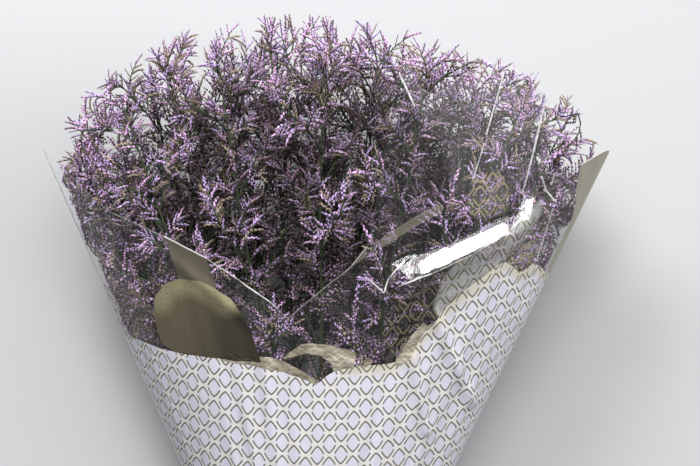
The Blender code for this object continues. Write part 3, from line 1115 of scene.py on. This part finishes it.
GOLD_RINGS = (
    (
        (222, 353), (245, 354), (270, 357), (290, 364), (320, 381), (318, 385), (290, 374), (255, 366),
        (222, 361),
    ),
    (
        (280, 360), (292, 350), (302, 344), (312, 343), (330, 345), (350, 350), (375, 361), (366, 367),
        (345, 368), (334, 372), (331, 363), (320, 355), (306, 354), (294, 356),
    ),
    ((392, 364), (401, 352), (410, 336), (424, 321), (428, 326), (418, 342), (410, 356), (400, 366)),
)
SEAM_RING = (
    (584, 144), (630, 150), (630, 270), (548, 272), (547.5, 268), (558, 245), (571, 218), (573.5, 204),
    (576, 190), (580, 165),
)
OLIVE_LINE = ((340, 270), (362, 254), (384, 241), (404, 228), (424, 216), (440, 209))
STREAK_RINGS = (
    (
        (404, 272), (412, 267), (422, 261.5), (432, 255.5), (441, 249.5), (447, 245.8), (449, 251),
        (452.5, 245), (458, 243), (474, 235.5), (490, 229), (503, 222.5), (508, 227), (505, 234), (497, 240),
        (481, 247.5), (466, 255), (454, 260.5), (440, 268.5), (430, 272), (421, 274.5), (412, 274),
    ),
    (
        (522, 222), (519, 213), (521, 207), (526, 199), (531, 191), (533, 190), (531.5, 200), (530, 211),
        (527, 219), (524.5, 226),
    ),
)
VEIL_RING = (
    (432, 306), (440, 284), (452, 266), (478, 252), (500, 241), (514, 224), (536, 202), (542, 196),
    (540, 214), (526, 238), (506, 258), (486, 276), (458, 300), (438, 318),
)
FLAP_RING = (
    (399, 72), (412, 104), (440, 150), (455, 196), (500, 190), (541, 196), (556, 150), (556, 122), (546, 98),
    (505, 66), (440, 80),
)
FACETS = (
    {"line": ((396, 280), (518, 221)), "sides": ((-22, 0), (-12, 1), (12, 1), (18, 0)),
     "ends": ((-0.06, 0), (0.04, 1), (0.95, 1), (1.04, 0)), "lift": 7 * MM},
    {"line": ((521, 228), (531, 186)), "sides": ((-9, 0), (-6, 1), (6, 1), (10, 0)),
     "ends": ((-0.15, 0), (0.0, 1), (0.9, 1), (1.1, 0)), "lift": 5 * MM},
)
FACET_TILT = (-0.150, -0.100)
FACET_RIPPLE = 0.35 * MM
RIPPLE_GRAIN = 70
CRUMPLE_LINE = ((410, 275), (410, 276))
CRUMPLE_WIDTH = 26
CRUMPLE_GAIN = 2.5
FOLDS = (
    (((345, 322), (385, 290)), 6.0, 4.0 * MM),
    (((60, 190), (120, 320)), 6.0, 2.0 * MM),
    (((575, 200), (520, 320)), 6.0, 3.5 * MM),
    (((150, 240), (260, 330)), 6.0, 2.5 * MM),
    (((436, 318), (470, 400)), 6.0, 5.0 * MM),
    (((412, 356), (425, 430)), 5.0, 5.0 * MM),
)


def seen_at(corners):
    """The pixels of the photograph in which corners of a mesh appear."""
    turned = (corners - np.array(camera.location)) @ np.array(camera.rotation_euler.to_matrix())
    scale = LENS / SENSOR * PHOTO_WIDTH / -turned[:, 2:]
    return turned[:, :2] * scale * (1, -1) + (PHOTO_WIDTH / 2, PHOTO_HEIGHT / 2)


def distance_to(pixels, line):
    """How many pixels each place lies from a line of points."""
    least = np.full(len(pixels), 1e6)
    for start, end in zip(np.array(line[:-1], float), np.array(line[1:], float)):
        run = end - start
        share = np.clip((pixels - start) @ run / (run @ run), 0, 1)
        least = np.minimum(least, np.linalg.norm(pixels - start - share[:, None] * run, axis=1))
    return least


def depth_in(pixels, ring):
    """How many pixels each place lies inside a ring, negative outside."""
    inside = np.zeros(len(pixels), bool)
    x, y = pixels.T
    for (x0, y0), (x1, y1) in zip(ring, ring[1:] + ring[:1]):
        crosses = (y0 > y) != (y1 > y)
        rise = y1 - y0 or 1.0
        inside ^= crosses & (x < (x1 - x0) * (y - y0) / rise + x0)
    return distance_to(pixels, ring + ring[:1]) * np.where(inside, 1, -1)


def corners_of(item):
    corners = np.empty(3 * len(item.data.vertices))
    item.data.vertices.foreach_get("co", corners)
    return corners.reshape(-1, 3)


def deepest_in(pixels, rings):
    return np.maximum.reduce([depth_in(pixels, ring) for ring in rings])


front_pixels = seen_at(corners_of(front))
print("front sheet seen from", front_pixels.min(0).round(), "to", front_pixels.max(0).round())

# %% Print, folds and pleats on the sheets
BACK_PRINT_Y = 0.02
PLEAT = 1.6 * MM
PLEAT_GRAIN = (7, 2.5)
PLEAT_DEPTH = 2.4
CRINKLE = 0.8 * MM
CRINKLE_GRAIN = (22, 18)
WELD_FADE = 12
OUTSIDE = -50.0
UNSEEN = -999.0


def mark_print(item, pixels):
    """Stores how far inside each printed shape every corner lies; the back has the white foot only."""
    on_front = item == front
    shapes_in = {
        "tab": [TAB_RING], "ribbon": [RIBBON_RING], "gold": GOLD_RINGS, "seam_strip": [SEAM_RING],
        "veil": [VEIL_RING], "flap": [FLAP_RING], "trellis": TRELLIS_RINGS, "patch": PATCH_RINGS,
        "streak": STREAK_RINGS,
    }
    for name, rings in shapes_in.items():
        paint(item, name, deepest_in(pixels, rings) if on_front else np.full(len(pixels), OUTSIDE))
    heights = (BACK_PRINT_Y - corners_of(item)[:, 1]) / MM
    paint(item, "white", depth_in(pixels, WHITE_RING) if on_front else heights)
    for name, line in (("olive", OLIVE_LINE), ("tab_light", TAB_HIGHLIGHT_LINE)):
        paint(item, name, distance_to(pixels, line) if on_front else np.full(len(pixels), -OUTSIDE))
    glare = np.zeros(len(pixels))
    for facet in FACETS:
        glare = np.maximum(glare, facet_share(facet, pixels))
    paint(item, "glare", glare if on_front else np.zeros(len(pixels)))
    paint(item, "shine", np.full(len(pixels), 1.0 if on_front else 0.0))
    weld = seen_at(np.array([front_point(-1, y) for y in np.linspace(NARROW_Y, MOUTH_Y, 30)]))
    paint(item, "weld", distance_to(pixels, weld))
    seen = item.data.attributes.new("seen", "FLOAT_VECTOR", "POINT")
    places = np.full((len(pixels), 3), UNSEEN)
    if on_front:
        places = np.column_stack((pixels, np.zeros(len(pixels))))
    seen.data.foreach_set("vector", places.ravel())


def facet_share(facet, pixels):
    """How far each corner belongs to a flat patch, from 0 to 1."""
    start, end = np.array(facet["line"], float)
    run = end - start
    place = (pixels - start) @ run / (run @ run)
    aside = (pixels - start) @ np.array((run[1], -run[0])) / np.linalg.norm(run)
    return np.interp(aside, *zip(*facet["sides"])) * np.interp(place, *zip(*facet["ends"]))


def flatten(corners, pixels):
    """Lays long patches of the film flat, so that each mirrors a light as a broad bright streak."""
    for facet in FACETS:
        share = facet_share(facet, pixels)
        inner = share > 0.99
        slope = (corners[:, 0] * FACET_TILT[0] + corners[:, 1] * FACET_TILT[1])
        base = (corners[:, 2] - slope)[inner].mean() + facet["lift"]
        ripples = np.array([noise.noise(Vector((x * RIPPLE_GRAIN, y * RIPPLE_GRAIN, 1))) for x, y, _ in corners])
        nearness = np.exp(-(distance_to(pixels, CRUMPLE_LINE) / CRUMPLE_WIDTH) ** 2)
        crumpled = 1 + CRUMPLE_GAIN * nearness
        corners[:, 2] += share * (base + slope + ripples * crumpled * FACET_RIPPLE - corners[:, 2])


def fold(item, pixels):
    """Pushes a sheet out along its folds and pleats, but not at the welds, where the two sheets meet."""
    outward = np.empty(3 * len(item.data.vertices))
    item.data.vertices.foreach_get("normal", outward)
    corners = corners_of(item)
    lift = np.zeros(len(corners))
    if item == front:
        for line, width, height in FOLDS:
            lift += height * np.exp(-(distance_to(pixels, line) / width) ** 2)
    for number, (x, y, _) in enumerate(corners):
        middle, half_width, _, _ = sleeve_section(y)
        across = (x - middle) / half_width
        pleats = noise.noise(Vector((across * PLEAT_GRAIN[0], y * PLEAT_GRAIN[1], 5)))
        crinkles = noise.noise(Vector((across * CRINKLE_GRAIN[0], y * CRINKLE_GRAIN[1], 9)))
        lift[number] += PLEAT * (1 - PLEAT_DEPTH * abs(pleats)) + CRINKLE * crinkles
        lift[number] *= min(1.0, (1 - abs(across)) * WELD_FADE)
    moved = corners + outward.reshape(-1, 3) * np.maximum(lift, -PLEAT)[:, None]
    moved[:, 2] = np.maximum(moved[:, 2], 0)
    if item == front:
        flatten(moved, pixels)
    item.data.vertices.foreach_set("co", moved.ravel())


for sheet in (front, back):
    pixels = seen_at(corners_of(sheet))
    mark_print(sheet, pixels)
    sheet.data.update()
    fold(sheet, pixels)
print("printed shapes and folds stored")

# %% Weld the sheets
FILM_THICKNESS = 0.2 * MM


def weld_sheets():
    """Joins the two sheets into one cone, merges their welds and gives the film its thickness."""
    back.data.flip_normals()
    join(front, back)
    edit_whole(bpy.ops.mesh.remove_doubles, threshold=0.02 * MM)
    apply_modifier("SOLIDIFY", thickness=FILM_THICKNESS, offset=-1)
    bpy.ops.object.shade_smooth_by_angle(angle=math.radians(60))


def unrolled_size():
    """The width and length of the film when the cone is cut open along one weld and laid flat."""
    fine = np.linspace(-1, 1, 401)
    mouth = [np.array([side(across, MOUTH_Y) for across in fine]) for side in (front_point, back_point)]
    round_mouth = sum(np.linalg.norm(np.diff(line, axis=0), axis=1).sum() for line in mouth)
    angle = round_mouth / (SLANT * (MOUTH_Y - APEX_Y))
    short = SLANT * (NARROW_Y - APEX_Y)
    long = SLANT * (max(y for _, y in FRONT_EDGE + BACK_EDGE) - APEX_Y)
    return 2 * long * math.sin(angle / 2), long - short * math.cos(angle / 2)


weld_sheets()
print("film triangles:", 2 * len(front.data.polygons))
print("film laid flat:", [round(size, 3) for size in unrolled_size()])

# %% [markdown]
# ## The finish of the film
# The film is clear where it isn't printed: it is mixed from a transparent part and a mirror, with more mirror
# at a glancing angle. On its two flat patches the mirror is strong inside the rings of the streaks only,
# because the long light would else fill them whole. Pale lines along its creases, its cut edge and its weld
# are painted highlights, and rows of tiny holes let the flowers breathe. The ink lies in layers: a thin veil,
# open strokes of a trellis, a white ground under the trellis at the foot, with painted shade along its upper
# edge, and dull gold for the tab, the ribbon and the crumpled hem, with painted highlights and painted shade
# on the tab and the hem. The trellis is a formula on the flat map, so that it stays sharp: in a lattice of
# diamonds, each cell is drawn as two pointed arches, with a gap at its left and right corners.

# %% Finish of the film
CELL_WIDTH = 23 * MM
CELL_HEIGHT = 24 * MM
CELL_HALVES = (0.272, 0.425)
TIP_ROUND = 0.025
ARCH = 1.6
STROKE_WIDTH = 1.4 * MM
STROKE_GAP = 0.060
WHITE_INK = (0.73, 0.715, 0.705)
CELL_INK = (0.67, 0.66, 0.765)
STROKE_INK = (0.15, 0.135, 0.095)
RIM_PAINTED_SHADE = (0.60, 0.57, 0.48)
TAB_GOLD = (0.160, 0.138, 0.090)
TAB_PAINTED_HIGHLIGHT = (0.34, 0.31, 0.185)
TAB_PAINTED_SHADE = (0.055, 0.048, 0.032)
RIBBON_GOLD = (0.135, 0.120, 0.085)
HEM_PAINTED_HIGHLIGHT = (0.50, 0.45, 0.36)
HEM_PAINTED_SHADE = (0.31, 0.27, 0.20)
STRIP_GOLDS = (0.31, 0.285, 0.225), (0.42, 0.395, 0.33)
HAZE = 0.006
CLEAR_MIRROR = 0.85
VEIL_INK = (0.58, 0.59, 0.58)
FLAP_INK = (0.75, 0.74, 0.76)
OLIVE_INK = (0.26, 0.24, 0.18)
OPEN_STROKE_INK = (0.17, 0.15, 0.09)
PATCH_STROKE_INK = (0.38, 0.33, 0.18)
GLOSS_LIMIT = 0.030
GLARE = 0.35
GLOW = 0.05
HOLE_PITCH = 6.5 * MM
HOLE = 0.075
CREASE_HIGHLIGHTS = (
    ((397, 68), (414, 105), 1.5, 0.95), ((504, 71), (486, 134), 1.1, 0.7), ((484, 143), (473, 178), 0.9, 0.5),
    ((545, 100), (533, 150), 1.4, 0.8), ((533, 150), (522, 192), 1.2, 0.6),
    ((541, 162), (548, 155), 0.9, 0.7), ((548, 155), (556, 165), 0.9, 0.6),
    ((556, 165), (550, 184), 0.9, 0.7), ((541, 176), (545, 190), 1.0, 0.8),
    ((545, 190), (555, 201), 1.2, 0.9), ((546, 99), (558, 122), 0.8, 0.3),
    ((558, 122), (556, 149), 0.8, 0.3), ((206, 257), (240, 281), 0.8, 0.45),
    ((240, 281), (286, 313), 1.0, 0.8), ((366, 277), (383, 291), 0.9, 0.7),
    ((383, 291), (388, 279), 1.1, 0.9), ((388, 279), (404, 261), 1.1, 0.8),
    ((398, 287), (430, 275), 0.9, 0.8), ((430, 275), (470, 256), 0.8, 0.6),
    ((470, 256), (512, 231), 0.8, 0.5), ((552, 208), (535, 262), 0.8, 0.4),
)
INKED = ("white", "tab", "ribbon", "gold", "seam_strip", "trellis")
SLOPES = {
    "olive": (5.5, 2.5), "veil": (-3.0, 4.0), "streak": (-1.0, 1.2), "weld": (1.1, 0.5), "flap": (-6.0, 14.0),
    "patch": (-2.0, 3.0),
}
EDGE_HIGHLIGHT_WIDTH = 1.3
RIM_SHADE_SLOPE = (14.0, 2.0)
RIM_SHADE_FROM_X = 0.02
TAB_SHADE = (165.0, 245.0)
TAB_HIGHLIGHT_SLOPE = (20.0, 1.0)
CLEAR_TINT = (0.95, 0.95, 0.96)
LINE_HIGHLIGHT_PAINT = (0.95, 0.93, 0.92)
HOLE_INK = (0.06, 0.05, 0.035)
GILT_MIRROR = 0.35
CLEAR_ROUGHNESS = 0.10
INK_ROUGHNESS = 0.45
HEM_CRUMPLE = 6 * MM


def largest(first, *others):
    """The largest of several wires."""
    for other in others:
        first = first.larger(other)
    return first


def layered(finish, color, layers):
    """A colour with others laid over it, each as far as its mask says."""
    for mask, over in layers:
        color = finish.mix(mask, color, over)
    return color


def trellis(finish, wide, high):
    """The strokes of the trellis and the insides of its cells, as shares from 0 to 1."""
    rising, falling = (wide + high).fraction() - 0.5, (wide - high).fraction() - 0.5
    across, upward = (rising + falling) * 0.5, (rising - falling) * 0.5
    half_wide, half_high = CELL_HALVES
    rounded = (across * across + TIP_ROUND ** 2) ** 0.5
    shape = rounded / half_wide + abs(upward) ** ARCH / half_high ** ARCH - 1.0
    slope_up = abs(upward) ** (ARCH - 1) * (ARCH / half_high ** ARCH / CELL_HEIGHT)
    away = shape / (slope_up * slope_up + (1 / half_wide / CELL_WIDTH) ** 2) ** 0.5
    strokes = (abs(away) < STROKE_WIDTH / 2) * (abs(upward) > STROKE_GAP)
    return strokes, away < 0.0


def creases(finish):
    """Painted highlights: thin bright lines along the creases, each as far as its own strength."""
    seen = finish.attribute("seen", "Vector")
    lines = []
    for start, end, width, strength in CREASE_HIGHLIGHTS:
        start, end = Vector((*start, 0)), Vector((*end, 0))
        run = end - start
        offset = finish.vector("SUBTRACT", seen, start)
        share = finish.vector("DOT_PRODUCT", offset, run / run.length_squared, "Value")
        share = share.larger(0.0).smaller(1.0)
        nearest = finish.node("ShaderNodeVectorMath", {"operation": "SCALE"}, {0: run, "Scale": share})
        away = finish.vector("DISTANCE", offset, nearest, "Value")
        lines.append(away.step(width, width * 0.3) * strength)
    # Noise breaks the painted highlight lines into pieces.
    highlight_gaps = finish.speckle(160.0, 3.0) * 1.9 - 0.15
    return largest(*lines) * highlight_gaps.smaller(1.0)


def film_finish():
    """Ink in layers on a film that is mixed from a clear part and a mirror."""
    finish = Finish("printed_film")
    flat = finish.node("ShaderNodeUVMap", {"uv_map": "film_flat"})
    flat_x, flat_y = [finish.node("ShaderNodeSeparateXYZ", sockets={0: flat}, output=axis) for axis in (0, 1)]
    seen_x = finish.node("ShaderNodeSeparateXYZ", sockets={0: finish.attribute("seen", "Vector")})
    shine = finish.attribute("shine")
    white, tab, ribbon, gold, strip, trellised = [finish.attribute(name) > 0 for name in INKED]
    soft = [finish.attribute(name).step(*slope) for name, slope in SLOPES.items()]
    olive, veil, streak, weld, flap, patch = soft
    veil = veil * (0.35 + finish.speckle(60.0))
    # Painted highlights: bright lines along the cut edge (rim), along the weld (weld) and along the creases.
    rim = (finish.attribute("edge") < EDGE_HIGHLIGHT_WIDTH) * shine
    crease_highlight = creases(finish)
    strokes, insides = trellis(finish, flat_x / CELL_WIDTH, flat_y / CELL_HEIGHT)
    open_strokes = strokes * trellised
    patch_strokes = strokes * (patch > 0.5)
    hole_x, hole_y = (flat_x / HOLE_PITCH).fraction() - 0.5, (flat_y / HOLE_PITCH).fraction() - 0.5
    holes = (hole_x * hole_x + hole_y * hole_y) < HOLE ** 2
    gilt = largest(tab, ribbon, gold, strip)
    printed = white.larger(gilt)

    # Painted shade: a darker beige band along the upper edge of the white ground, on its right part.
    foot_edge_shade = finish.attribute("white").step(*RIM_SHADE_SLOPE) * (flat_x > RIM_SHADE_FROM_X)
    foot = layered(finish, WHITE_INK, ((insides, CELL_INK), (foot_edge_shade, RIM_PAINTED_SHADE), (strokes, STROKE_INK)))
    creased = finish.speckle(70.0, 3.0)
    tab_highlight_share = finish.attribute("tab_light").step(*TAB_HIGHLIGHT_SLOPE)
    # Painted shade darkens the tab towards its right and a painted highlight lightens its top; the holes are
    # dark dots.
    tab_shade_highlight_holes = ((seen_x.step(*TAB_SHADE), TAB_PAINTED_SHADE), (tab_highlight_share, TAB_PAINTED_HIGHLIGHT), (holes, HOLE_INK))
    layers = (
        (flap, FLAP_INK),
        (veil, VEIL_INK),
        (olive, OLIVE_INK),
        (open_strokes, OPEN_STROKE_INK),
        (patch_strokes, PATCH_STROKE_INK),
        (white, foot),
        # The crumpled gold hem: the noise that bumps it also mixes in painted highlight and painted shade.
        (gold, finish.mix(creased.step(0.35, 0.62), HEM_PAINTED_SHADE, HEM_PAINTED_HIGHLIGHT)),
        (strip, finish.mix(finish.speckle(40.0), *STRIP_GOLDS)),
        (ribbon, RIBBON_GOLD),
        (tab, layered(finish, TAB_GOLD, tab_shade_highlight_holes)),
        (largest(crease_highlight, rim, weld), LINE_HIGHLIGHT_PAINT),
    )
    finish.set("Base Color", layered(finish, CLEAR_TINT, layers))
    ink = largest(printed, open_strokes, crease_highlight, veil, olive, rim, flap, patch, weld) * (1.0 - streak)
    finish.set("Metallic", CLEAR_MIRROR - ink * (CLEAR_MIRROR - GILT_MIRROR * gilt))
    finish.set("Roughness", CLEAR_ROUGHNESS + INK_ROUGHNESS * ink)
    finish.bump(creased * gold, HEM_CRUMPLE)

    gloss = finish.node("ShaderNodeFresnel", sockets={"IOR": 1.5})
    clear = gloss.smaller(GLOSS_LIMIT) * shine + HAZE
    glare = finish.attribute("glare") * (GLOW + streak * (GLARE - GLOW))
    # Each layer hides this share of what lies behind it.
    hiding = (
        (printed, 0.97), (crease_highlight, 1.0), (veil, 0.42), (weld, 0.40), (holes * shine, 0.30), (olive, 0.28),
        (rim, 0.10), (flap, 0.02), (patch_strokes, 0.70), (open_strokes, 0.60), (patch, 0.04),
    )
    cover = largest(clear, glare, *(layer * share for layer, share in hiding))
    clear_part = finish.tree.nodes.new("ShaderNodeBsdfTransparent")
    mixed = finish.tree.nodes.new("ShaderNodeMixShader")
    finish.feed(mixed.inputs["Fac"], cover)
    finish.tree.links.new(clear_part.outputs[0], mixed.inputs[1])
    finish.tree.links.new(finish.shader.outputs[0], mixed.inputs[2])
    finish.tree.links.new(mixed.outputs[0], finish.tree.nodes["Material Output"].inputs["Surface"])
    return finish


film = film_finish()
coat(front, film)
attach(front, "root")
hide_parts("sleeve")
unrolled_size()
print("film finish with", len(film.tree.nodes), "nodes")

# %% [markdown]
# ## The elastic band
# A rubber band is wound four times round the stems just above their cut ends. Its path is the tight outline
# of the bundle: for each direction, the stem that lies farthest out sets how far the band reaches. The turns
# lie side by side and cross a little, as a band that was rolled on by hand does.

# %% Elastic band
BAND_TURNS = 4
STRAND_DIAMETER = 1.5 * MM
POINTS_PER_TURN = 60
SWAY = 0.25 * MM
TURN_PITCH = STRAND_DIAMETER * 0.98
RUBBER_TINTS = (0.40, 0.30, 0.18), (0.55, 0.43, 0.27)


def band_outline(angle):
    """The place where the band passes in one direction, and the direction."""
    outward = Vector((math.cos(angle), math.sin(angle)))
    farthest = max((Vector((stem.bundle_x, stem.bundle_z)) for stem in stems), key=outward.dot)
    return farthest + outward * (STEM_DIAMETER / 2 + FIT_GAP + BAND_THICKNESS / 2)


def add_band():
    lines = []
    for turn in range(BAND_TURNS):
        points = []
        for number in range(POINTS_PER_TURN + 1):
            angle = math.tau * number / POINTS_PER_TURN
            place = band_outline(angle)
            sway = SWAY * math.sin(angle * (2 + turn % 2) + turn * 1.7)
            y = BAND_Y + (turn - (BAND_TURNS - 1) / 2) * TURN_PITCH + sway
            points.append(Vector((place.x, y, place.y)))
        lines.append((points, [STRAND_DIAMETER / 2] * len(points)))
    return add_stalks("rubber_turns", lines, 1)


band = add_band()
band.data.shade_smooth()
rubber = Finish("rubber", roughness=0.55)
rubber.set("Base Color", rubber.mix(rubber.speckle(90.0), *RUBBER_TINTS))
rubber.bump(rubber.speckle(600.0), 0.3 * MM)
coat(band, rubber)
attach(band, "root")
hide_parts("elastic_band")
print("band triangles:", 2 * len(band.data.polygons))
